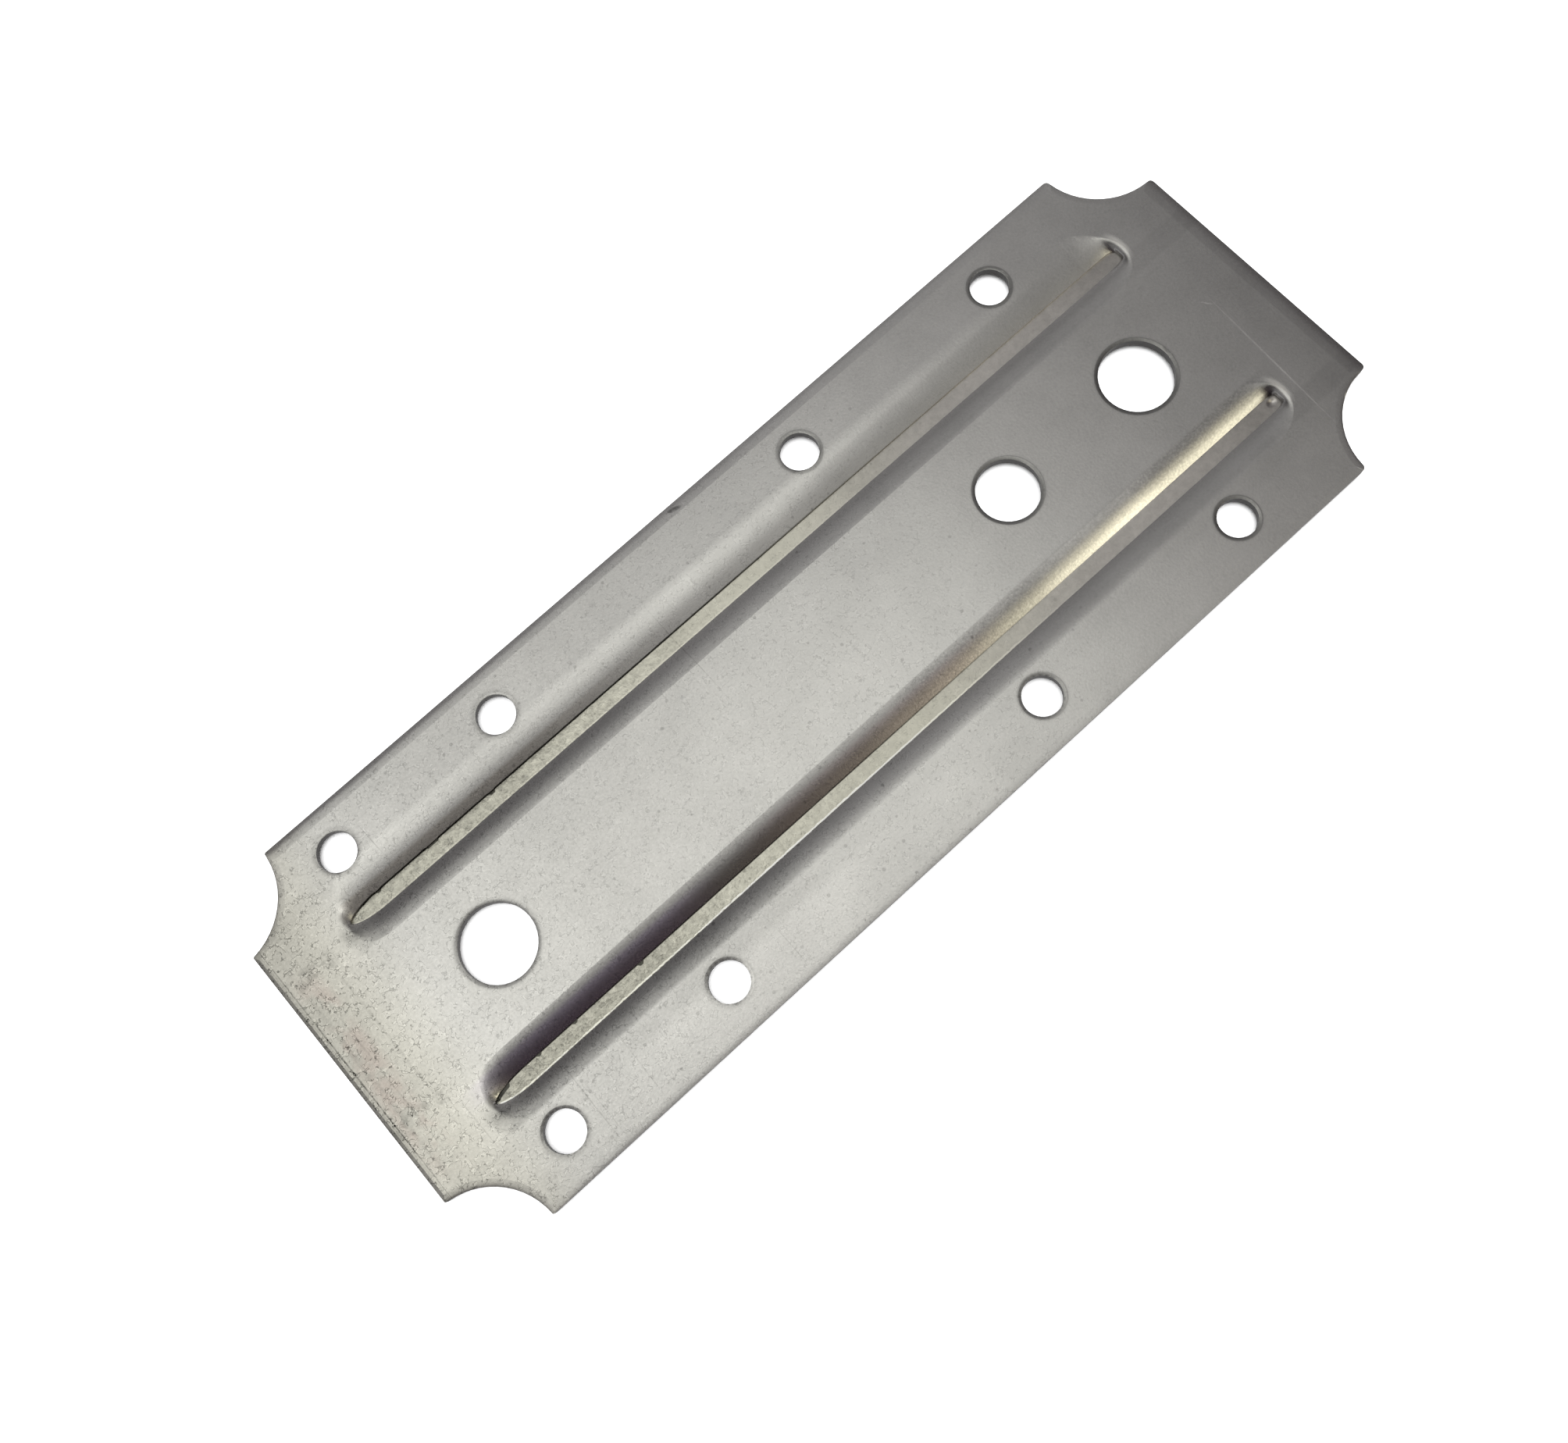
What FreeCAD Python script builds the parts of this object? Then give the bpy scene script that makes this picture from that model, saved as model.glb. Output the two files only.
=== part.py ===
import FreeCAD, Part

import math
import os

from FreeCAD import Vector

# A flat connector plate, pressed from one piece of sheet steel. All sizes are in millimetres.
# X runs along the plate from its near end to its far end, Y runs across it to its left edge and Z points up.
# The origin is under the middle of the plate, at the level of the two rib crests it lies on.

# Blank
plate_length = 200.0
plate_width = 74.4
sheet_thickness = 1.5

# Shearing and punching draw the upper rim down, by a different amount at each edge
near_roll_width = 0.6
near_roll_drop = 0.08
far_roll_width = 2.8
far_roll_drop = 0.28
left_roll_width = 2.2
left_roll_drop = 0.4
right_roll_width = 1.4
right_roll_drop = 0.03
notch_roll_width = 1.2
notch_roll_drop = 0.08
screw_hole_roll_width = 0.5
screw_hole_roll_drop = 0.05
bolt_hole_roll_width = 0.6
bolt_hole_roll_drop = 0.06

# Round notches at the four corners, with their centres given from the two ends and long edges
notch_radius = 12.7
near_notch_outset = 1.3  # centre past the near end
far_notch_inset = 0.6  # centre short of the far end
notch_side_outset = 0.3  # centre past the long edge
near_tip_round = 0.3
far_tip_round = 0.8

# Screw holes in two rows, one along each long edge
screw_hole_diameter = 6.8
screw_row_margin = 8.1  # long edge to the row
near_screw_margin = 20.5  # near end to the first hole of a row
near_screw_pitch = 33.6  # first hole to the second
far_screw_margin = 34.6  # far end to the last hole of a row
far_screw_pitch = 44.1  # last hole to the one before it

# Bolt holes along the middle of the plate
bolt_hole_diameter = 13.0
near_bolt_margin = 30.8  # near end to the near bolt hole
far_bolt_margin = 28.4  # far end to the far bolt hole
middle_hole_diameter = 11.0
middle_hole_pitch = 29.8  # far bolt hole to the middle hole

# Two ribs pressed downwards, so each is a groove above and a ridge below
rib_row_gap = 10.45  # screw row to the middle of the rib
rib_depth = 1.3
rib_floor_width = 2.8
rib_flank_width = 4.35
floor_step = 0.06  # small upright wall between a flank and the groove's floor
soft_flank_width = 7.0  # the left rib's outer flank is wider and gentler than the others
soft_flank_step = 0.35  # and ends in a higher wall
near_rib_margin = 15.05  # near end to the end of the groove's floor
near_end_taper = 6.4  # length over which the floor and the rim close to a point or a blunt end
near_flank_width = 0.8
near_flank_step = 0.65
near_ridge_flank_width = 2.7  # the ridge below ends in a wider flank
far_rib_margin = 13.9  # far end to the end of the groove's floor
far_end_taper = 6.5
far_flank_width = 1.15
far_flank_step = 0.35
far_ridge_flank_width = 2.3

# Modelling values that are no sizes of the plate
NEAR_FLOOR_POWER = 2  # outline of a rib's end, where 2 gives half an ellipse and more a blunter end
NEAR_RIM_POWER = 3
FAR_FLOOR_POWER = 5
FAR_RIM_POWER = 2
END_SECTIONS = 25  # cross sections that carry a rib's flank around its end
ROLL_START = math.radians(4)  # where on its ellipse a rolled rim leaves the flat face
ROLL_END = math.radians(78)  # where on its ellipse it meets the wall
ROLL_POINTS = 7
OVERRUN = 1.0  # how far a cutting tool reaches past the sheet
SEW_TOLERANCE = 0.001
SMALL = 1e-4

underside = rib_depth
top = underside + sheet_thickness
near_end = -plate_length / 2
far_end = plate_length / 2
screw_row = plate_width / 2 - screw_row_margin
rib_line = screw_row - rib_row_gap


def prism(face, height):
    return face.extrude(Vector(0, 0, height))


def disc(x, y, z, radius):
    return Part.Face(Part.Wire(Part.makeCircle(radius, Vector(x, y, z))))


def edges_at(shape, height):
    """Edges that lie wholly at one height."""
    def level(edge):
        box = edge.BoundBox
        return abs(box.ZMin - height) < SMALL and abs(box.ZMax - height) < SMALL
    return [edge for edge in shape.Edges if level(edge)]


def upright_edges(shape):
    def upright(edge):
        box = edge.BoundBox
        return box.XLength < SMALL and box.YLength < SMALL
    return [edge for edge in shape.Edges if upright(edge)]


def notch_centres():
    columns = (near_end - near_notch_outset, far_end - far_notch_inset)
    reach = plate_width / 2 + notch_side_outset
    return [(x, y) for x in columns for y in (-reach, reach)]


def notched_face():
    """The blank seen from above, a rectangle with a round notch in each corner."""
    corner = Vector(near_end, -plate_width / 2, underside)
    face = Part.makePlane(plate_length, plate_width, corner)
    for x, y in notch_centres():
        face = face.cut(disc(x, y, underside, notch_radius))
    return face


def roll_section(radius, width, drop):
    """Section of what is cut away above a rolled rim, whose wall stands at X = radius.

    The sheet lies at greater X. The roll follows an ellipse and steepens towards the wall.
    """
    def roll_point(step):
        angle = ROLL_START + (ROLL_END - ROLL_START) * step / (ROLL_POINTS - 1)
        across = (math.sin(ROLL_END) - math.sin(angle)) / (math.sin(ROLL_END) - math.sin(ROLL_START))
        down = (math.cos(ROLL_START) - math.cos(angle)) / (math.cos(ROLL_START) - math.cos(ROLL_END))
        return Vector(radius + width * across, 0, top - drop * down)

    points = [roll_point(step) for step in range(ROLL_POINTS)]
    curve = Part.BSplineCurve()
    curve.interpolate(points)
    corners = [
        points[-1],
        Vector(radius - OVERRUN, 0, top - drop),
        Vector(radius - OVERRUN, 0, top + OVERRUN),
        Vector(radius + width, 0, top + OVERRUN),
        points[0],
    ]
    return Part.Face(Part.Wire([curve.toShape()] + Part.makePolygon(corners).Edges))


def ring_roll(x, y, radius, width, drop):
    """Tool for the rolled rim around a round hole or notch."""
    ring = roll_section(radius, width, drop).revolve(Vector(0, 0, 0), Vector(0, 0, 1), 360)
    return ring.translated(Vector(x, y, 0))


def straight_roll(reach, length, width, drop, angle):
    """Tool for the rolled rim along a straight edge, reach away from the middle of the plate.

    At angle 0 it is the near edge, and the angle turns it to another edge.
    """
    bar = roll_section(-reach, width, drop).extrude(Vector(0, length, 0))
    return bar.translated(Vector(0, -length / 2, 0)).rotated(Vector(0, 0, 0), Vector(0, 0, 1), angle)


def blank():
    """The cut-out sheet, with its notch tips eased and its upper rim rolled down by the punch."""
    sheet = prism(notched_face(), sheet_thickness)
    for radius, end in ((near_tip_round, -1), (far_tip_round, 1)):
        tips = [edge for edge in upright_edges(sheet) if edge.BoundBox.Center.x * end > 0]
        sheet = sheet.makeFillet(radius, tips)
    half_length = plate_length / 2
    half_width = plate_width / 2
    sheet = sheet.cut(straight_roll(half_length, plate_width, near_roll_width, near_roll_drop, 0))
    sheet = sheet.cut(straight_roll(half_length, plate_width, far_roll_width, far_roll_drop, 180))
    sheet = sheet.cut(straight_roll(half_width, plate_length, right_roll_width, right_roll_drop, 90))
    sheet = sheet.cut(straight_roll(half_width, plate_length, left_roll_width, left_roll_drop, -90))
    for x, y in notch_centres():
        sheet = sheet.cut(ring_roll(x, y, notch_radius, notch_roll_width, notch_roll_drop))
    return sheet


def flank_bend(rim, foot, drop):
    """Direction from the rim of a flank to its foot, and the radius and end slope of the arc between.

    rim is where the flank leaves the flat sheet and foot is where it meets the groove's floor, both
    as points at the level of the upper face. The arc leaves the rim level and falls by drop.
    """
    width = (foot - rim).Length
    return (foot - rim) / width, (width ** 2 + drop ** 2) / (2 * drop), 2 * math.atan2(drop, width)


def flank_arc(centre, inward, radius, start, end):
    """Arc in an upright plane, with its angles measured from straight up towards the groove."""
    def around(angle):
        return centre + inward * (radius * math.sin(angle)) + Vector(0, 0, radius * math.cos(angle))
    return Part.Arc(around(start), around((start + end) / 2), around(end)).toShape()


def groove_profile(rim, foot, step):
    """Upper face of one flank in section, which ends in an upright wall of height step."""
    inward, radius, slope = flank_bend(rim, foot, rib_depth - step)
    floor_corner = foot - Vector(0, 0, rib_depth)
    arc = flank_arc(rim - Vector(0, 0, radius), inward, radius, 0, slope)
    wall = Part.makeLine(floor_corner + Vector(0, 0, step), floor_corner)
    return Part.Wire([arc, wall])


def ridge_profile(rim, foot):
    """Lower face of one flank in section, down to the crest under the foot."""
    inward, radius, slope = flank_bend(rim, foot, rib_depth)
    arc = flank_arc(rim - Vector(0, 0, radius), inward, radius - sheet_thickness, 0, slope)
    floor_corner = foot - Vector(0, 0, rib_depth)
    crest = flank_arc(floor_corner, inward, sheet_thickness, math.pi + slope, math.pi)
    return Part.Wire([arc, crest])


def rib_end(middle, direction, end, sides):
    """Flank profiles carried around one end of a rib, from its +Y side to its -Y side.

    The floor and the rim both close around the same middle point. sides gives the width and the
    step of the flank on each side of the rib, and both fade into those of the end.
    """
    taper, flank_width, ridge_flank_width, end_step, floor_power, rim_power = end
    floor_half = rib_floor_width / 2

    def outline(reach, half, power, angle):
        along, across = math.sin(angle), math.cos(angle)
        size = (abs(along) ** power + abs(across) ** power) ** (1 / power)
        return middle + Vector(direction * reach * along / size, half * across / size, 0)

    profiles = []
    for section in range(END_SECTIONS):
        angle = math.pi * section / (END_SECTIONS - 1)
        side_width, side_step = sides[0] if angle < math.pi / 2 else sides[1]
        fade = math.cos(angle) ** 2
        step = end_step + (side_step - end_step) * fade
        rim_half = floor_half + rib_flank_width + (side_width - rib_flank_width) * fade
        foot = outline(taper, floor_half, floor_power, angle)
        rim = outline(taper + flank_width, rim_half, rim_power, angle)
        ridge_rim = outline(taper + ridge_flank_width, rim_half, rim_power, angle)
        profiles.append((groove_profile(rim, foot, step), ridge_profile(ridge_rim, foot)))
    return profiles


def rib_faces(y, sides):
    """Flank, crest and floor faces of one rib, and the two patches of flat sheet that it replaces."""
    near_middle = Vector(near_end + near_rib_margin + near_end_taper, y, top)
    far_middle = Vector(far_end - far_rib_margin - far_end_taper, y, top)
    near_widths = (near_end_taper, near_flank_width, near_ridge_flank_width, near_flank_step)
    far_widths = (far_end_taper, far_flank_width, far_ridge_flank_width, far_flank_step)
    near_profiles = rib_end(near_middle, -1, near_widths + (NEAR_FLOOR_POWER, NEAR_RIM_POWER), sides)
    far_profiles = rib_end(far_middle, 1, far_widths + (FAR_FLOOR_POWER, FAR_RIM_POWER), sides)
    run = far_middle - near_middle

    def skin(side_of_sheet):
        """The surface that the upper or the lower profile leaves all around the rib."""
        strips = [near_profiles[side][side_of_sheet].extrude(run) for side in (0, -1)]
        for profiles in (near_profiles, far_profiles):
            strips.append(Part.makeLoft([profile[side_of_sheet] for profile in profiles], False, False))
        return Part.Compound(strips)

    def patch(strip, height):
        return Part.Face(Part.Wire(Part.__sortEdges__(edges_at(strip, height))))

    groove = skin(0)
    ridge = skin(1)
    faces = groove.Faces + ridge.Faces
    faces.append(patch(groove, top - rib_depth))
    faces.append(patch(ridge, underside - rib_depth))
    return faces, patch(groove, top), patch(ridge, underside)


def flat_face_at(shape, height):
    """The flat face of the sheet at one height."""
    flat = [face for face in shape.Faces if edges_at(face, height) and face.BoundBox.ZLength < SMALL]
    return max(flat, key=lambda face: face.Area)


def pressed_sheet():
    """The blank with both ribs pressed into it, still without holes."""
    sheet = blank()
    upper = flat_face_at(sheet, top)
    lower = flat_face_at(sheet, underside)
    faces = [face for face in sheet.Faces if not face.isSame(upper) and not face.isSame(lower)]
    firm = (rib_flank_width, floor_step)
    soft = (soft_flank_width, soft_flank_step)
    for y, sides in ((-rib_line, (firm, firm)), (rib_line, (soft, firm))):
        rib, upper_patch, lower_patch = rib_faces(y, sides)
        faces += rib
        upper = upper.cut(upper_patch)
        lower = lower.cut(lower_patch)
    shell = Part.Compound(faces + upper.Faces + lower.Faces)
    shell.sewShape(SEW_TOLERANCE)
    return Part.makeSolid(shell.Shells[0])


def hole_places():
    """Centre, diameter and rolled rim, as its width and its drop, of each hole."""
    columns = (
        near_end + near_screw_margin,
        near_end + near_screw_margin + near_screw_pitch,
        far_end - far_screw_margin - far_screw_pitch,
        far_end - far_screw_margin,
    )
    far_bolt = far_end - far_bolt_margin
    screw_roll = (screw_hole_roll_width, screw_hole_roll_drop)
    bolt_roll = (bolt_hole_roll_width, bolt_hole_roll_drop)
    holes = [(x, y, screw_hole_diameter, screw_roll) for x in columns for y in (-screw_row, screw_row)]
    holes.append((near_end + near_bolt_margin, 0, bolt_hole_diameter, bolt_roll))
    holes.append((far_bolt, 0, bolt_hole_diameter, bolt_roll))
    holes.append((far_bolt - middle_hole_pitch, 0, middle_hole_diameter, bolt_roll))
    return holes


def punched(sheet):
    """The sheet with its holes, each with its upper rim rolled down by the punch."""
    for x, y, diameter, roll in hole_places():
        bottom = disc(x, y, underside - OVERRUN, diameter / 2)
        sheet = sheet.cut(prism(bottom, sheet_thickness + 2 * OVERRUN))
        sheet = sheet.cut(ring_roll(x, y, diameter / 2, *roll))
    return sheet


def main():
    plate = punched(pressed_sheet())
    os.makedirs("parts", exist_ok=True)
    plate.exportStep("parts/connector_plate.step")
    print("connector_plate", plate.isValid(), "solids", len(plate.Solids), "volume", round(plate.Volume, 1))


main()
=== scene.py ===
import math

import bpy
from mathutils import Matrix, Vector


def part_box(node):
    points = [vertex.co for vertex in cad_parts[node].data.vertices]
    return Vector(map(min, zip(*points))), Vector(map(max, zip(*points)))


# The scene dresses one pressed steel connector plate. It lies on a pale floor with its grooves up.
# Places and sizes are in metres, unless a name ends in _mm, and angles in degrees.
# Where a mask goes by two numbers, it is 0 at the first and 1 at the second. Where it goes by three, they are
# the middle of a band, half its width and its soft border.

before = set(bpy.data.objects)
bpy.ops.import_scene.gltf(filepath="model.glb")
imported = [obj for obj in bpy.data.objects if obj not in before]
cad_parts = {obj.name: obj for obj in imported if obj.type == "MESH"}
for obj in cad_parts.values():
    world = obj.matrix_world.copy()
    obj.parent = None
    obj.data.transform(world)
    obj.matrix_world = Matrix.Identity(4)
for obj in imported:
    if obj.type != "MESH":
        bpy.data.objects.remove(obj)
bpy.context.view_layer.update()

PLATE = "connector_plate"
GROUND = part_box(PLATE)[0].z
MM_PER_METRE = 1000.0
MICROMETRE = 1e-6

# The camera looks steeply down on the plate, from over its near half and out beyond its right side
CAMERA_PLACE = (-0.036559, -0.054210, 0.227809)
CAMERA_TURN = (13.4181, 3.8711, -41.9155)
CAMERA_LENS_mm = 32.973
SENSOR_WIDTH_mm = 36.0

# Heights of the steel's grain and of the coined floors' waves, and depth of the dent in one floor, in micrometres
GRAIN_HEIGHT = 7.0
COINED_HEIGHT = 110.0
DENT_DEPTH = 180.0

FLOOR_SIZE = 30.0
FLOOR_COLOUR = (0.9, 0.9, 0.9, 1)
FLOOR_LIGHT_SPREAD = 60.0
FLOOR_LIGHT_STRENGTH = 6.0

# Soft lamps of the room, in groups of one tint: direction to each from the plate, tightness and strength.
# No tightness is a whole number, so that a lamp gives nothing behind it.
SOFT_LAMPS = (
    ((1.0, 1.01, 0.94), (
        ((-0.200, 0.175, 0.964), 88.5, 1.58),
        ((0.135, 0.175, 0.975), 87.5, 1.23),
        ((-0.210, 0.441, 0.872), 32.5, 0.55),
        ((0.248, -0.136, 0.959), 35.5, 0.37),
    )),
    ((1.0, 0.95, 0.72), (
        ((0.398, -0.426, 0.812), 88.5, 1.07),
        ((0.425, -0.648, 0.632), 88.5, 3.19),
    )),
    ((1.0, 1.02, 1.0), (
        ((0.317, 0.487, 0.814), 5.6, 0.26),
        ((0.141, 0.977, 0.158), 2.5, 0.13),
        ((-0.782, 0.060, 0.621), 6.1, 0.42),
    )),
)
DIM_AIR = (0.028, 0.018, 0.022, 1)
PALE_HORIZON = (0.7, 0.7, 0.7, 1)
# Height in the round room, where 1 is its top
HORIZON_SETS_IN = (0.30, 0.05)

# Colours of the plate
STEEL = (0.62, 0.61, 0.60, 1)
WARM_STEEL = (0.62, 0.60, 0.545, 1)
# Painted reflections of the dim room on one groove's flank
VIOLET_REFLECTION = (0.66, 0.60, 0.72, 1)
ROSY_REFLECTION = (0.645, 0.59, 0.59, 1)
STAIN = (0.60, 0.53, 0.49, 1)
BROWNER_STEEL = (0.60, 0.55, 0.50, 1)
COINED_STEEL = (0.68, 0.665, 0.585, 1)
FAR_COINED_STEEL = (0.675, 0.645, 0.62, 1)
# Cut walls: rougher, less metallic steel, painted near black as shade in the holes and along the edges
SHADED_CUT_WALL = (0.048, 0.043, 0.040, 1)

ROUGHNESS = 0.25
ROUGHER_COINED = 0.08
ROUGHER_HALO = 0.25
ROUGHER_TIP = 0.35
ROUGHER_WALL = 0.35
LESS_METAL_IN_WALL = -0.7

# How fine the random patterns are, in cells per millimetre
GRAIN_SCALE = 2.4
CURL_SCALE = 1.25
FRAY_SCALE = 0.9
SPECK_SCALE = 0.55
BLOT_SCALE = 0.20
MOTTLE_SCALE = 0.11
CURL_WIDTH = 0.04
SPECK_RADIUS = 0.16
SPECK_SHARE = 0.35
BLOT_STRETCH = (1.2, 0.8, 1)
BLOT_LEVELS = (0.36, 0.58)

# Bands that hold the specks along the plate and the blots across it
SPECKS_BAND_mm = (-25, 45, 30)
BLOTS_BAND_mm = (-2, 13, 9)

# Where along the plate the grain of the sheet and the waves of the coined floors grow, their least strength and
# what they gain
GRAIN_GROWS_mm = (20, -60)
LEAST_GRAIN, GRAIN_GAIN = 0.16, 0.22
WAVES_GROW_mm = (10, -50)
LEAST_WAVES, WAVES_GAIN = 0.35, 0.5

# How much brighter or darker each kind of mark is than the steel around
MOTTLE = 0.22
DARK_CURL = -0.34
LIGHT_CURL = 0.14
SPECK = -0.25
SMUDGE = -0.22
# Painted shade round the holes
HOLE_RING_SHADE = -0.30
FAR_HOLE_RIM_SHADE = -0.30
# Painted glint beside the coined floors and painted shade in their crevices
GLINT = 0.9
CREVICE_SHADE = -0.82
# Painted shade of a dark arc and painted reflection of a pale arc round each far tip, and a painted highlight on the
# dent
FAR_ARC_SHADE = -0.4
FAR_HALO_REFLECTION = 0.5
DENT_HIGHLIGHT = 0.4

# Places on the plate in its own millimetres, X along it and Y across it
RIB_LINE_mm = 18.65
COINED_LEVEL_mm = 1.5
COINED_HALF_mm = 1.4
RIB_MIDDLE_mm = 0.6
RIB_HALF_LENGTH_mm = 85.6
NEAR_TIP_mm = -84.95
NEAR_TAPER_mm = 6.4
SCREW_COLUMNS_mm = (-79.5, -45.9, 21.3, 65.4)
SCREW_ROW_mm = 29.1
SCREW_RADIUS_mm = 3.4
BOLT_COLUMNS_mm = (-69.2, 71.6)
BOLT_RADIUS_mm = 6.5
MIDDLE_HOLE_mm = 41.8
MIDDLE_RADIUS_mm = 5.5

# A cut wall shows by how little its normal points up. A coined floor shows by how much its normal does and by
# how low it lies, with a frayed edge.
UPRIGHT = (0.5, 0.25)
LYING = (0.2, 0.5)
LOW_mm = (COINED_LEVEL_mm + 0.10, COINED_LEVEL_mm + 0.03)
LEVEL_FRAY_mm = -0.2
# Strip that holds a coined floor and no cut wall: half its width, and its soft borders across the plate and along it
COINED_STRIP_HALF_mm = COINED_HALF_mm + 0.3
COINED_STRIP_BORDERS_mm = (0.15, 0.4)

# Where the regions of the sheet begin: the outer strips off the plate's middle, the flat sheet off the line of
# a groove, and the left part of the near end across the plate
OUTER_STRIPS_BEGIN_mm = (26, 29)
SHEET_BEGINS_mm = (4.5, 6.5)
NEAR_LEFT_BEGINS_mm = (-26, -4)

# Off the wall of a hole, its grey ring and its dark rim, both painted shade, and where along the plate the holes
# begin to have dark rims
RING_FADES_mm = (1.2, 0.1)
RIM_FADES_mm = (0.80, 0.55)
RIMS_BEGIN_mm = (-10, 40)

# Strips beside the line of a groove
UPPER_FLANK_mm = (3.4, 1.8, 1.0)
LOWER_FLANK_mm = (-3.3, 1.5, 0.9)
FLANK_HIGHLIGHT_mm = (3.4, 1.8, 0.6)
DARK_FLANK_mm = (2.8, 0.9, 1.3)
# A darker, browner band beside the left groove's crevice
BROWN_BAND_mm = (2.0, 0.7, 0.9)

# Each row below names a region of the plate. Then come the two places between which the mark rises along the plate
# and the two between which it falls, or None where it doesn't.

# How much brighter or darker each stretch is
TONES_mm = (
    ("all", None, (-99.1, -98.8), -0.14),
    ("all", (89, 95), None, -0.09),
    ("near_left", None, (-97, -87), -0.17),
    ("sheet", None, (-56, -40), -0.05),
    ("sheet", (12, 26), (62, 76), 0.07),
    ("strips", None, None, 0.06),
    ("left_strip", (15, 40), None, -0.05),
    ("right_strip", (-72, -54), (-30, -12), 0.16),
    # Painted shade on the flanks of the grooves, darker where less of the room's light falls on them
    ("left_upper_flank", (10, 24), (64, 78), -0.09),
    ("lower_flanks", (-88, -84), (-45, 0), -0.22),
    ("right_lower_flank", (-88, -84), (-45, 0), -0.10),
    ("lower_flanks", (-15, 10), None, -0.07),
    # The darker, browner band beside the left groove's crevice
    ("brown_band", (-85.5, -83), (-55, -10), -0.27),
    ("coined", None, (-60, -30), -0.14),
    ("right_coined", None, (-60, -30), -0.08),
    ("left_coined", (-16, -4), (16, 28), 0.12),
    ("coined", (13, 27), (43, 57), -0.08),
    ("coined", (66, 84), None, -0.17),
)

# How much of a tint each stretch has
TINTS_mm = (
    ("all", None, (-94, -78), 0.8, WARM_STEEL),
    ("blots", (-99.4, -97.2), (-94.8, -92.6), 0.8, STAIN),
    # Painted reflection: the right groove's upper flank takes a violet tint, then a rosy one, from the room it
    # mirrors
    ("dark_flank", (-90, -76), (-48, -34), 1.0, VIOLET_REFLECTION),
    ("dark_flank", (-36, -20), (12, 28), 1.0, ROSY_REFLECTION),
    ("brown_band", (-85.5, -83), (-55, -10), 0.6, BROWNER_STEEL),
)
COINED_COLOUR_CHANGES_mm = (0, 50)

# A painted highlight on a stretch of one flank, and how much brighter it is along the plate, over a low start
FLANK_HIGHLIGHT_STRETCH_mm = ((-2, 10), (78, 90))
LEAST_HIGHLIGHT = -0.04
GRAIN_IN_HIGHLIGHT = 0.6
HIGHLIGHT_mm = (
    ("all", (31, 40), (54, 63), 0.26),
    ("all", (56, 64), None, -0.06),
    ("all", (76, 84), None, -0.16),
)

# How much stronger the curled marks are in each stretch, over a low start
LEAST_CURLS = 0.15
CURLS_mm = (
    ("all", None, (5, 45), 0.45),
    ("all", None, (-75, -40), 0.25),
    ("all", None, (-92, -80), 0.6),
)

# Painted shade in the crevice on one edge of each coined floor and a painted glint on the other. The crevice shades
# what lies past it.
CREVICE_mm = (0, 0.05, 0.10)
SHADED_mm = (-0.03, 0.03)
GLINT_mm = (0.12, 0.06, 0.16)
CREVICE_FRAY_mm = 0.12
GLINT_FRAY_mm = 0.5
# They fade out towards the far end. The left groove has less of the glint, and less of the crevice at its tip.
EDGES_FADE_mm = (50, -20)
LEFT_TIP_mm = (-81.5, -83.5)
LESS_ON_LEFT = -0.7

# Jogs of the crevice beside each groove's floor: side of the plate, place along it, half length and depth
JOG_BORDER_mm = 0.5
JOGS_mm = (
    (1, -78.5, 0.15, 0.35),
    (1, -67.2, 0.9, 0.24),
    (1, -54.6, 0.25, 0.40),
    (-1, -83.2, 1.2, 0.50),
    (-1, -75.4, 0.10, 0.30),
    (-1, -68.0, 0.15, 0.28),
    (-1, -54.4, 0.20, 0.42),
)

# Soft spots of painted shade and light by the ends of the grooves: side of the plate or 0 for both, place along it
# and off the groove's line, half sizes both ways and how much brighter or darker than the steel around
TIP_SHADE_AND_LIGHT_mm = (
    (0, -86.0, -1.6, 2.8, 2.7, -0.32),
    (1, -84.6, 2.4, 1.3, 1.9, 0.40),
    (-1, -83.9, 1.2, 1.6, 0.8, -0.50),
    (-1, 85.4, 1.3, 0.9, 0.7, -0.60),
)

# Scratches: start, end, half width and how much brighter or darker than the steel around. The fray breaks them up.
SCRATCH_STRENGTH = 0.8
SCRATCH_FRAY = 2.0
SCRATCHES_mm = (
    ((90.5, 1.0), (89.0, -28.0), 0.11, 0.36),
    ((88.8, 2.5), (90.2, 0.5), 0.10, 0.25),
    ((-15.9, 6.0), (-15.9, 27.0), 0.07, -0.20),
    ((-35.0, -27.0), (-35.0, -36.0), 0.07, -0.16),
    ((-64.0, -22.0), (-64.6, -36.0), 0.07, -0.20),
    ((-73.5, -22.0), (-73.8, -36.5), 0.07, -0.22),
    ((-72.6, -25.0), (-72.8, -36.0), 0.06, -0.15),
    ((-74.0, 23.5), (-74.2, 30.5), 0.07, -0.22),
    ((-98.75, -30.0), (-98.75, 30.0), 0.09, -0.50),
    ((-97.1, -28.0), (-97.2, 28.0), 0.30, -0.10),
    ((-95.2, -26.0), (-95.2, 24.0), 0.10, -0.14),
    ((-91.2, -20.0), (-91.1, 22.0), 0.16, -0.12),
    ((-88.8, -14.0), (-88.7, -24.0), 0.08, -0.20),
    ((-88.4, -20.0), (-85.8, -23.4), 0.10, -0.18),
    ((-2.3, 36.3), (0.3, 35.6), 0.26, -0.85),
    ((4.3, -11.2), (5.2, -11.9), 0.14, -0.35),
)

# Ovals by the far end of each groove: middle along the plate and off the groove's line, and half sizes both ways
FAR_TIP_mm = ((84.3, 0.5), (2.75, 4.2))
DENT_mm = ((84.8, 0.15), (1.1, 0.9))
# A matt oval by the near end of each groove, given the same way
MATT_TIP_mm = ((-85.2, 0.6), (1.1, 2.0))

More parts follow.
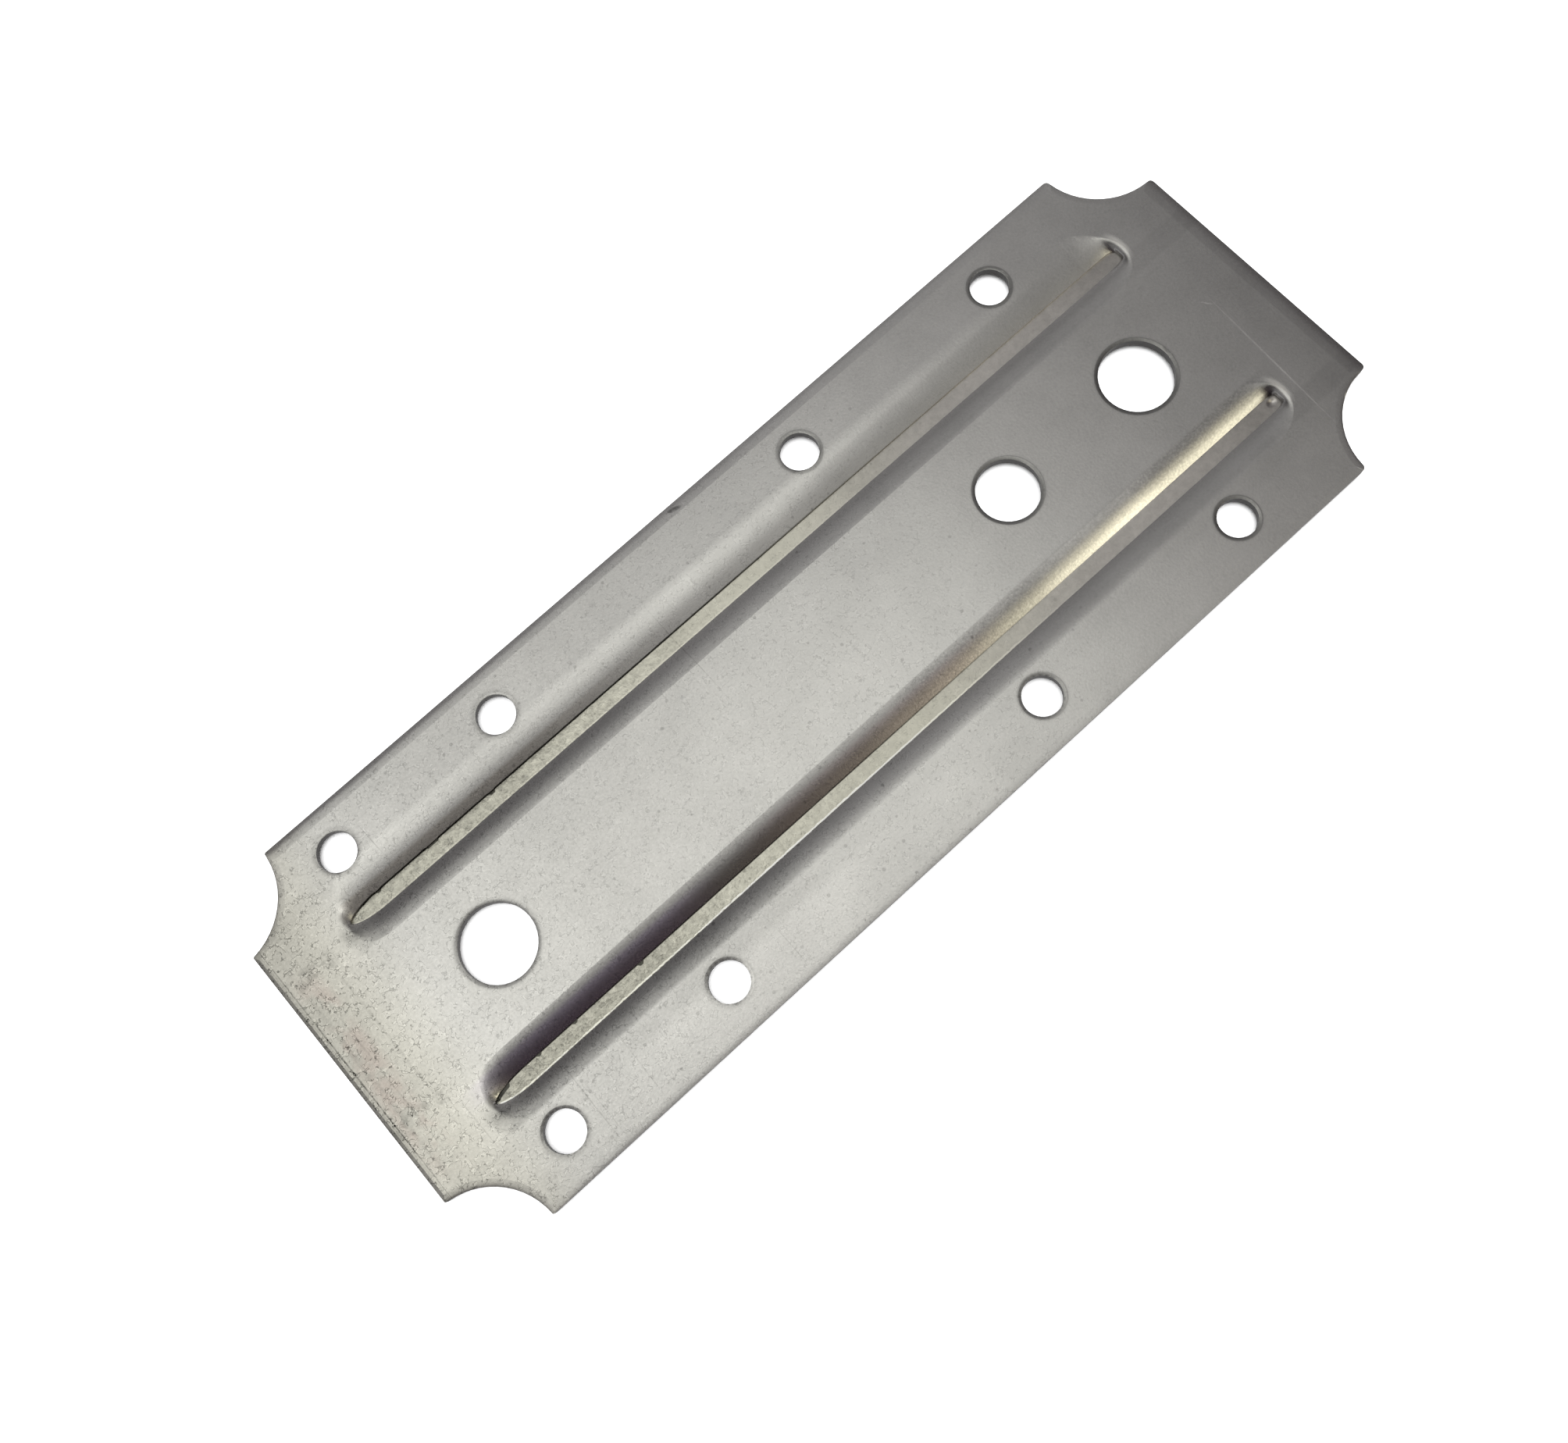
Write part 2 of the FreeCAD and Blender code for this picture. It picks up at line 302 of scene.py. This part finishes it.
# A painted dark arc of shade and a painted pale arc of reflected light round each far tip, in shares of that oval.
# Both set in along the plate, and the pale one keeps to a strip beside the line of the groove.
ARC = (0.76, 0.06, 0.16)
HALO = (1.06, 0.04, 0.26)
ARCS_BEGIN_mm = (84.8, 86.6)
HALO_STRIP_mm = (0.9, 0.8, 3.2)

# Cross smudges by the near end, as bands along the plate and across it, and how much fray they need to show
SMUDGED = (-0.06, 0.06)
SMUDGES_mm = (
    ((-93.8, 3.0, 2.4), (16.4, 0.5, 1.8)),
    ((-94.5, 4.0, 2.4), (-12, 0.3, 1.8)),
)


class Shader:
    """Short calls that add shader nodes to one tree and join them up."""

    def __init__(self, tree):
        self.tree = tree
        tree.nodes.clear()

    def node(self, kind, **settings):
        made = self.tree.nodes.new(kind)
        for name, value in settings.items():
            setattr(made, name, value)
        return made

    def feed(self, socket, value):
        if isinstance(value, bpy.types.NodeSocket):
            self.tree.links.new(value, socket)
        else:
            socket.default_value = value

    def math(self, operation, *values):
        made = self.node("ShaderNodeMath", operation=operation)
        for socket, value in zip(made.inputs, values):
            self.feed(socket, value)
        return made.outputs[0]

    def add(self, a, b):
        return self.math("ADD", a, b)

    def sub(self, a, b):
        return self.math("SUBTRACT", a, b)

    def mul(self, a, b):
        return self.math("MULTIPLY", a, b)

    def more(self, mask, change, base):
        """The base and a share of the mask."""
        return self.math("MULTIPLY_ADD", mask, change, base)

    def step(self, value, low, high):
        """0 below low, 1 above high and smooth between, or the other way round if low is the greater."""
        return self.ramp(value, low, high, "SMOOTHSTEP")

    def ramp(self, value, low, high, kind="LINEAR"):
        """0 below low, 1 above high and straight between, unless another kind of ramp is asked for."""
        made = self.node("ShaderNodeMapRange", interpolation_type=kind)
        for name, setting in (("Value", value), ("From Min", low), ("From Max", high)):
            self.feed(made.inputs[name], setting)
        return made.outputs["Result"]

    def mix(self, share, a, b):
        made = self.node("ShaderNodeMix", data_type="RGBA")
        self.feed(made.inputs[0], share)
        self.feed(made.inputs[6], a)
        self.feed(made.inputs[7], b)
        return made.outputs[2]

    def band(self, value, middle, half, soft):
        """1 within half of the middle and 0 beyond, with a soft border."""
        rise = self.step(value, middle - half - soft, middle - half)
        return self.mul(rise, self.step(value, middle + half + soft, middle + half))

    def vector(self, operation, *values):
        made = self.node("ShaderNodeVectorMath", operation=operation)
        for socket, value in zip(made.inputs, values):
            self.feed(socket, value)
        return made.outputs[0]

    def dot(self, vector, direction):
        made = self.node("ShaderNodeVectorMath", operation="DOT_PRODUCT")
        self.feed(made.inputs[0], vector)
        made.inputs[1].default_value = direction
        return made.outputs["Value"]

    def split(self, vector):
        made = self.node("ShaderNodeSeparateXYZ")
        self.feed(made.inputs[0], vector)
        return made.outputs[0], made.outputs[1], made.outputs[2]

    def noise(self, place, scale, detail=2.0, roughness=0.6, stretch=(1, 1, 1)):
        made = self.node("ShaderNodeTexNoise")
        self.feed(made.inputs["Vector"], self.vector("MULTIPLY", place, stretch))
        made.inputs["Scale"].default_value = scale
        made.inputs["Detail"].default_value = detail
        made.inputs["Roughness"].default_value = roughness
        return made.outputs["Fac"]

    def specks(self, place, scale, radius, share):
        """Round specks of mixed sizes, in about this share of the cells of a random pattern."""
        made = self.node("ShaderNodeTexVoronoi")
        self.feed(made.inputs["Vector"], place)
        made.inputs["Scale"].default_value = scale
        luck = self.split(made.outputs["Color"])[0]
        size = self.mul(self.step(luck, 1 - share, 1), radius)
        near = self.sub(size, made.outputs["Distance"])
        return self.step(near, -0.06, 0.04)

    def curls(self, place, scale, width):
        """Short curved marks, each with a light rim: they follow two levels of a noise, where another is high."""
        level = self.noise(place, scale, 1.0, 0.5)
        here = self.step(self.noise(place, scale * 0.6, 0.0, 0.5), 0.38, 0.52)
        dark = self.step(self.math("ABSOLUTE", self.sub(level, 0.5)), width, 0)
        light = self.step(self.math("ABSOLUTE", self.sub(level, 0.5 + 2 * width)), width, 0)
        return self.mul(dark, here), self.mul(light, here)

    def least(self, *values):
        lowest = values[0]
        for value in values[1:]:
            lowest = self.math("MINIMUM", lowest, value)
        return lowest

    def far_from(self, *places):
        """Distance from the nearest of some places along one axis."""
        value = places[0]
        return self.least(*[self.math("ABSOLUTE", self.sub(value, place)) for place in places[1:]])

    def distance(self, a, b):
        return self.math("SQRT", self.add(self.mul(a, a), self.mul(b, b)))

    def reach(self, place, middle, halves):
        """Distance from the middle of an oval, 1 on its border, at any height."""
        scale = [1 / half for half in halves]
        start = [-at * share for at, share in zip(middle, scale)]
        made = self.node("ShaderNodeVectorMath", operation="LENGTH")
        self.feed(made.inputs[0], self.vector("MULTIPLY_ADD", place, (*scale, 0), (*start, 0)))
        return made.outputs["Value"]

    def spot(self, place, middle, halves):
        """1 in the middle of a soft oval spot and 0 past its border."""
        return self.step(self.reach(place, middle, halves), 1, 0)

    def scratch(self, place, start, end, half):
        """1 along the middle of a thin straight mark that tapers to its ends.

        It is an oval a fifth longer and twice as wide as asked for, because its border is soft.
        """
        middle = [(a + b) / 2 for a, b in zip(start, end)]
        length = 0.6 * math.dist(start, end)
        ux, uy = [(b - a) / math.dist(start, end) for a, b in zip(start, end)]
        from_middle = self.vector("SUBTRACT", place, (*middle, 0))
        along = self.dot(from_middle, (ux / length, uy / length, 0))
        off = self.dot(from_middle, (-uy / (2 * half), ux / (2 * half), 0))
        return self.step(self.math("MULTIPLY_ADD", along, along, self.mul(off, off)), 1, 0)


def camera():
    data = bpy.data.cameras.new("camera")
    data.sensor_fit = "HORIZONTAL"
    data.sensor_width = SENSOR_WIDTH_mm
    data.lens = CAMERA_LENS_mm
    data.clip_start = 0.005
    data.clip_end = 100
    made = bpy.data.objects.new("camera", data)
    made.location = CAMERA_PLACE
    made.rotation_euler = [math.radians(turn) for turn in CAMERA_TURN]
    bpy.context.scene.collection.objects.link(made)
    bpy.context.scene.camera = made


def room_light():
    """The soft light all around: lamps above and to the sides, a pale horizon and dim air between."""
    world = bpy.data.worlds.new("room")
    bpy.context.scene.world = world
    world.use_nodes = True
    world.cycles.sampling_method = "NONE"
    world.cycles_visibility.diffuse = False
    shader = Shader(world.node_tree)
    place = shader.node("ShaderNodeTexCoord").outputs["Generated"]
    total = shader.mix(shader.step(shader.split(place)[2], *HORIZON_SETS_IN), DIM_AIR, PALE_HORIZON)
    for tint, lamps in SOFT_LAMPS:
        glow = 0.0
        for direction, tightness, strength in lamps:
            lobe = shader.math("POWER", shader.dot(place, direction), tightness)
            glow = shader.more(lobe, strength, glow)
        total = shader.vector("MULTIPLY_ADD", glow, tint, total)
    background = shader.node("ShaderNodeBackground")
    shader.feed(background.inputs["Color"], total)
    background.inputs["Strength"].default_value = 1.0
    out = shader.node("ShaderNodeOutputWorld")
    shader.feed(out.inputs["Surface"], background.outputs[0])


def floor():
    bpy.ops.mesh.primitive_plane_add(size=FLOOR_SIZE, location=(0, 0, GROUND))
    made = bpy.context.active_object
    made.name = "floor"
    material = bpy.data.materials.new("pale_floor")
    material.use_nodes = True
    shader = Shader(material.node_tree)
    matt = shader.node("ShaderNodeBsdfDiffuse")
    matt.inputs["Color"].default_value = FLOOR_COLOUR
    out = shader.node("ShaderNodeOutputMaterial")
    shader.feed(out.inputs["Surface"], matt.outputs[0])
    made.data.materials.append(material)
    return made


def floor_light(ground):
    """A wide soft light from above that brightens the floor alone."""
    data = bpy.data.lights.new("floor_light", "SUN")
    data.angle = math.radians(FLOOR_LIGHT_SPREAD)
    data.energy = FLOOR_LIGHT_STRENGTH
    made = bpy.data.objects.new("floor_light", data)
    bpy.context.scene.collection.objects.link(made)
    lit = bpy.data.collections.new("lit_by_floor_light")
    lit.objects.link(ground)
    made.light_linking.receiver_collection = lit


class Steel(Shader):
    """Satin mill-finish steel: cut walls painted dark with shade, coined groove floors, the marks of the press and
    of use, and painted light and shade.

    A mark is a mask and the change of tone that it brings.
    """

    def __init__(self, tree):
        super().__init__(tree)
        coords = self.node("ShaderNodeTexCoord").outputs["Object"]
        self.place = self.vector("MULTIPLY", coords, (MM_PER_METRE,) * 3)
        self.x, self.y, self.z = self.split(self.place)
        self.facing = self.split(self.node("ShaderNodeNewGeometry").outputs["Normal"])[2]
        self.off_middle = self.math("ABSOLUTE", self.y)
        self.across = self.more(self.math("SIGN", self.y), -RIB_LINE_mm, self.y)
        beside = self.node("ShaderNodeCombineXYZ")
        self.feed(beside.inputs[0], self.x)
        self.feed(beside.inputs[1], self.across)
        self.beside = beside.outputs[0]
        self.left = self.step(self.y, -1, 1)
        self.right = self.step(self.y, 1, -1)
        self.grain = self.sub(self.noise(self.place, GRAIN_SCALE), 0.5)
        self.fray = self.sub(self.noise(self.place, FRAY_SCALE), 0.5)

        border_across, border_along = COINED_STRIP_BORDERS_mm
        along_rib = self.band(self.x, RIB_MIDDLE_mm, RIB_HALF_LENGTH_mm, border_along)
        self.coined_strip = self.mul(self.band(self.across, 0, COINED_STRIP_HALF_mm, border_across), along_rib)
        upright = self.step(self.math("ABSOLUTE", self.facing), *UPRIGHT)
        self.wall = self.mul(upright, self.more(self.coined_strip, -1.0, 1.0))
        low = self.step(self.more(self.fray, LEVEL_FRAY_mm, self.z), *LOW_mm)
        self.coined = self.mul(low, self.step(self.facing, *LYING))
        self.round_end = self.reach(self.beside, *FAR_TIP_mm)
        self.past_tip = self.step(self.x, *ARCS_BEGIN_mm)
        halo = self.mul(self.band(self.round_end, *HALO), self.past_tip)
        self.halo = self.mul(halo, self.band(self.across, *HALO_STRIP_mm))
        self.dent = self.mul(self.spot(self.beside, *DENT_mm), self.right)
        self.regions = self.named_regions()

    def named_regions(self):
        """Masks of the regions that the tables name."""
        across, left, right, mul, band = self.across, self.left, self.right, self.mul, self.band
        strips = self.step(self.off_middle, *OUTER_STRIPS_BEGIN_mm)
        lower_flanks = band(across, *LOWER_FLANK_mm)
        blots = self.step(self.noise(self.place, BLOT_SCALE, stretch=BLOT_STRETCH), *BLOT_LEVELS)
        return {
            "all": 1.0,
            "near_left": self.step(self.y, *NEAR_LEFT_BEGINS_mm),
            "sheet": self.step(self.math("ABSOLUTE", across), *SHEET_BEGINS_mm),
            "strips": strips,
            "left_strip": mul(strips, left),
            "right_strip": mul(strips, right),
            "left_upper_flank": mul(band(across, *UPPER_FLANK_mm), left),
            "dark_flank": mul(band(across, *DARK_FLANK_mm), right),
            "flank_highlight": mul(band(across, *FLANK_HIGHLIGHT_mm), right),
            "lower_flanks": lower_flanks,
            "right_lower_flank": mul(lower_flanks, right),
            "brown_band": mul(band(across, *BROWN_BAND_mm), left),
            "coined": self.coined,
            "left_coined": mul(self.coined, left),
            "right_coined": mul(self.coined, right),
            "blots": mul(blots, band(self.y, *BLOTS_BAND_mm)),
        }

    def stretch(self, region, rise, fall):
        """A region between the places where it rises and falls along the plate."""
        mask = self.regions[region]
        if rise:
            mask = self.mul(mask, self.step(self.x, *rise))
        if fall:
            mask = self.mul(mask, self.step(self.x, fall[1], fall[0]))
        return mask

    def sum_of(self, table, total):
        """The total with the change of each row of a table."""
        for region, rise, fall, change in table:
            total = self.more(self.stretch(region, rise, fall), change, total)
        return total

    def texture(self):
        """Fine grain, curled marks, specks and cloudy patches."""
        mottle = self.sub(self.noise(self.place, MOTTLE_SCALE), 0.5)
        dark_curls, light_curls = self.curls(self.place, CURL_SCALE, CURL_WIDTH)
        curled = self.sum_of(CURLS_mm, LEAST_CURLS)
        specks = self.specks(self.place, SPECK_SCALE, SPECK_RADIUS, SPECK_SHARE)
        specks = self.mul(specks, self.band(self.x, *SPECKS_BAND_mm))
        grain = self.mul(self.grain, self.more(self.step(self.x, *GRAIN_GROWS_mm), GRAIN_GAIN, LEAST_GRAIN))
        return [
            (mottle, MOTTLE),
            (self.mul(dark_curls, curled), DARK_CURL),
            (self.mul(light_curls, curled), LIGHT_CURL),
            (specks, SPECK),
            (grain, 1.0),
        ]

    def floor_edges(self):
        """Painted shade in the crevice along one side of each coined floor, and a painted glint along the other.

        The crevice jogs into the floor here and there, and the floor narrows to a point at its near end.
        """
        point = self.ramp(self.x, NEAR_TIP_mm + NEAR_TAPER_mm, NEAR_TIP_mm)
        coined_half = self.mul(self.math("SQRT", self.sub(1.0, self.mul(point, point))), COINED_HALF_mm)
        near_part = self.mul(self.coined_strip, self.step(self.x, *EDGES_FADE_mm))
        jogs = {1: 0.0, -1: 0.0}
        for side, along, half, depth in JOGS_mm:
            jogs[side] = self.more(self.band(self.x, along, half, JOG_BORDER_mm), depth, jogs[side])
        jog = self.add(self.mul(jogs[1], self.left), self.mul(jogs[-1], self.right))
        edge = self.sub(self.more(self.fray, CREVICE_FRAY_mm, self.add(self.across, jog)), coined_half)
        shaded = self.mul(self.step(edge, *SHADED_mm), self.coined)
        crevice = self.mul(self.math("MAXIMUM", self.band(edge, *CREVICE_mm), shaded), near_part)
        left_tip = self.mul(self.left, self.step(self.x, *LEFT_TIP_mm))
        crevice = self.mul(crevice, self.more(left_tip, LESS_ON_LEFT, 1.0))
        other_edge = self.add(self.more(self.fray, GLINT_FRAY_mm, self.across), coined_half)
        glint = self.mul(self.band(other_edge, *GLINT_mm), near_part)
        glint = self.mul(glint, self.more(self.left, LESS_ON_LEFT, 1.0))
        return crevice, glint

    def tips(self):
        """Painted light and shade by the groove ends: a dark arc with a pale one round it at each far end, a
        highlight on the dent in one floor, and the soft spots.
        """
        marks = [
            (self.mul(self.band(self.round_end, *ARC), self.past_tip), FAR_ARC_SHADE),
            (self.halo, FAR_HALO_REFLECTION),
            (self.dent, DENT_HIGHLIGHT),
        ]
        for side, along, off, half_along, half_off, change in TIP_SHADE_AND_LIGHT_mm:
            mask = self.spot(self.beside, (along, off), (half_along, half_off))
            if side:
                mask = self.mul(mask, self.left if side > 0 else self.right)
            marks.append((mask, change))
        return marks

    def smudges(self):
        """Two cross smudges by the near end."""
        total = 0.0
        for along, across in SMUDGES_mm:
            total = self.more(self.band(self.x, *along), self.band(self.y, *across), total)
        return self.mul(total, self.step(self.fray, *SMUDGED))

    def holes(self):
        """Painted shade: a grey ring round the holes, and darker rims on the far half."""
        row = self.sub(self.off_middle, SCREW_ROW_mm)
        screw = self.distance(self.far_from(self.x, *SCREW_COLUMNS_mm), row)
        bolt = self.distance(self.far_from(self.x, *BOLT_COLUMNS_mm), self.y)
        middle = self.distance(self.sub(self.x, MIDDLE_HOLE_mm), self.y)
        gaps = self.sub(screw, SCREW_RADIUS_mm), self.sub(bolt, BOLT_RADIUS_mm), self.sub(middle, MIDDLE_RADIUS_mm)
        gap = self.least(*gaps)
        far_rim = self.mul(self.step(gap, *RIM_FADES_mm), self.step(self.x, *RIMS_BEGIN_mm))
        return [(self.step(gap, *RING_FADES_mm), HOLE_RING_SHADE), (far_rim, FAR_HOLE_RIM_SHADE)]

    def scratches(self):
        total = 0.0
        for start, end, half, change in SCRATCHES_mm:
            total = self.more(self.scratch(self.place, start, end, half), change, total)
        return self.mul(total, self.more(self.fray, SCRATCH_FRAY, SCRATCH_STRENGTH))

    def colour(self):
        crevice, glint = self.floor_edges()
        strength = self.more(self.step(self.x, *WAVES_GROW_mm), WAVES_GAIN, LEAST_WAVES)
        waves = self.mul(self.mul(self.fray, self.coined), strength)
        tone = self.sum_of(TONES_mm, 1.0)
        marks = [(waves, 1.0), (glint, GLINT), (self.smudges(), SMUDGE), (self.scratches(), 1.0)]
        for mask, change in self.texture() + self.tips() + self.holes() + marks:
            tone = self.more(mask, change, tone)
        # Painted highlight along one flank, with grain in it
        highlight = self.more(self.grain, GRAIN_IN_HIGHLIGHT, self.sum_of(HIGHLIGHT_mm, LEAST_HIGHLIGHT))
        highlight = self.mul(self.stretch("flank_highlight", *FLANK_HIGHLIGHT_STRETCH_mm), highlight)
        tone = self.mul(tone, self.add(highlight, 1.0))
        tone = self.mul(tone, self.more(crevice, CREVICE_SHADE, 1.0))

        colour = STEEL
        for region, rise, fall, share, tint in TINTS_mm:
            colour = self.mix(self.mul(self.stretch(region, rise, fall), share), colour, tint)
        far_share = self.step(self.x, *COINED_COLOUR_CHANGES_mm)
        colour = self.mix(self.coined, colour, self.mix(far_share, COINED_STEEL, FAR_COINED_STEEL))
        colour = self.mix(self.wall, colour, SHADED_CUT_WALL)
        tinted = self.node("ShaderNodeVectorMath", operation="SCALE")
        self.feed(tinted.inputs[0], colour)
        self.feed(tinted.inputs["Scale"], tone)
        return tinted.outputs[0]

    def roughness(self):
        value = self.more(self.coined, ROUGHER_COINED, ROUGHNESS)
        value = self.more(self.halo, ROUGHER_HALO, value)
        value = self.more(self.spot(self.beside, *MATT_TIP_mm), ROUGHER_TIP, value)
        return self.more(self.wall, ROUGHER_WALL, value)

    def relief(self):
        """Bump of the grain, of the waves in the coined floors and of the dent, in micrometres."""
        bump = self.node("ShaderNodeBump")
        bump.inputs["Strength"].default_value = 1.0
        bump.inputs["Distance"].default_value = MICROMETRE
        waves = self.mul(self.mul(self.fray, self.coined), self.step(self.x, *WAVES_GROW_mm))
        height = self.more(waves, COINED_HEIGHT, self.mul(self.grain, GRAIN_HEIGHT))
        self.feed(bump.inputs["Height"], self.more(self.dent, -DENT_DEPTH, height))
        return bump.outputs[0]


def steel():
    material = bpy.data.materials.new("mill_steel")
    material.use_nodes = True
    shader = Steel(material.node_tree)
    surface = shader.node("ShaderNodeBsdfPrincipled")
    shader.feed(surface.inputs["Base Color"], shader.colour())
    shader.feed(surface.inputs["Metallic"], shader.more(shader.wall, LESS_METAL_IN_WALL, 1.0))
    shader.feed(surface.inputs["Roughness"], shader.roughness())
    shader.feed(surface.inputs["Normal"], shader.relief())
    out = shader.node("ShaderNodeOutputMaterial")
    shader.feed(out.inputs["Surface"], surface.outputs[0])
    return material


bpy.context.scene.view_settings.view_transform = "Standard"
light_paths = bpy.context.scene.cycles
light_paths.max_bounces = 3
light_paths.diffuse_bounces = 2
light_paths.glossy_bounces = 3
camera()
room_light()
floor_light(floor())
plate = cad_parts[PLATE]
for holder in plate.material_slots:
    holder.material = steel()
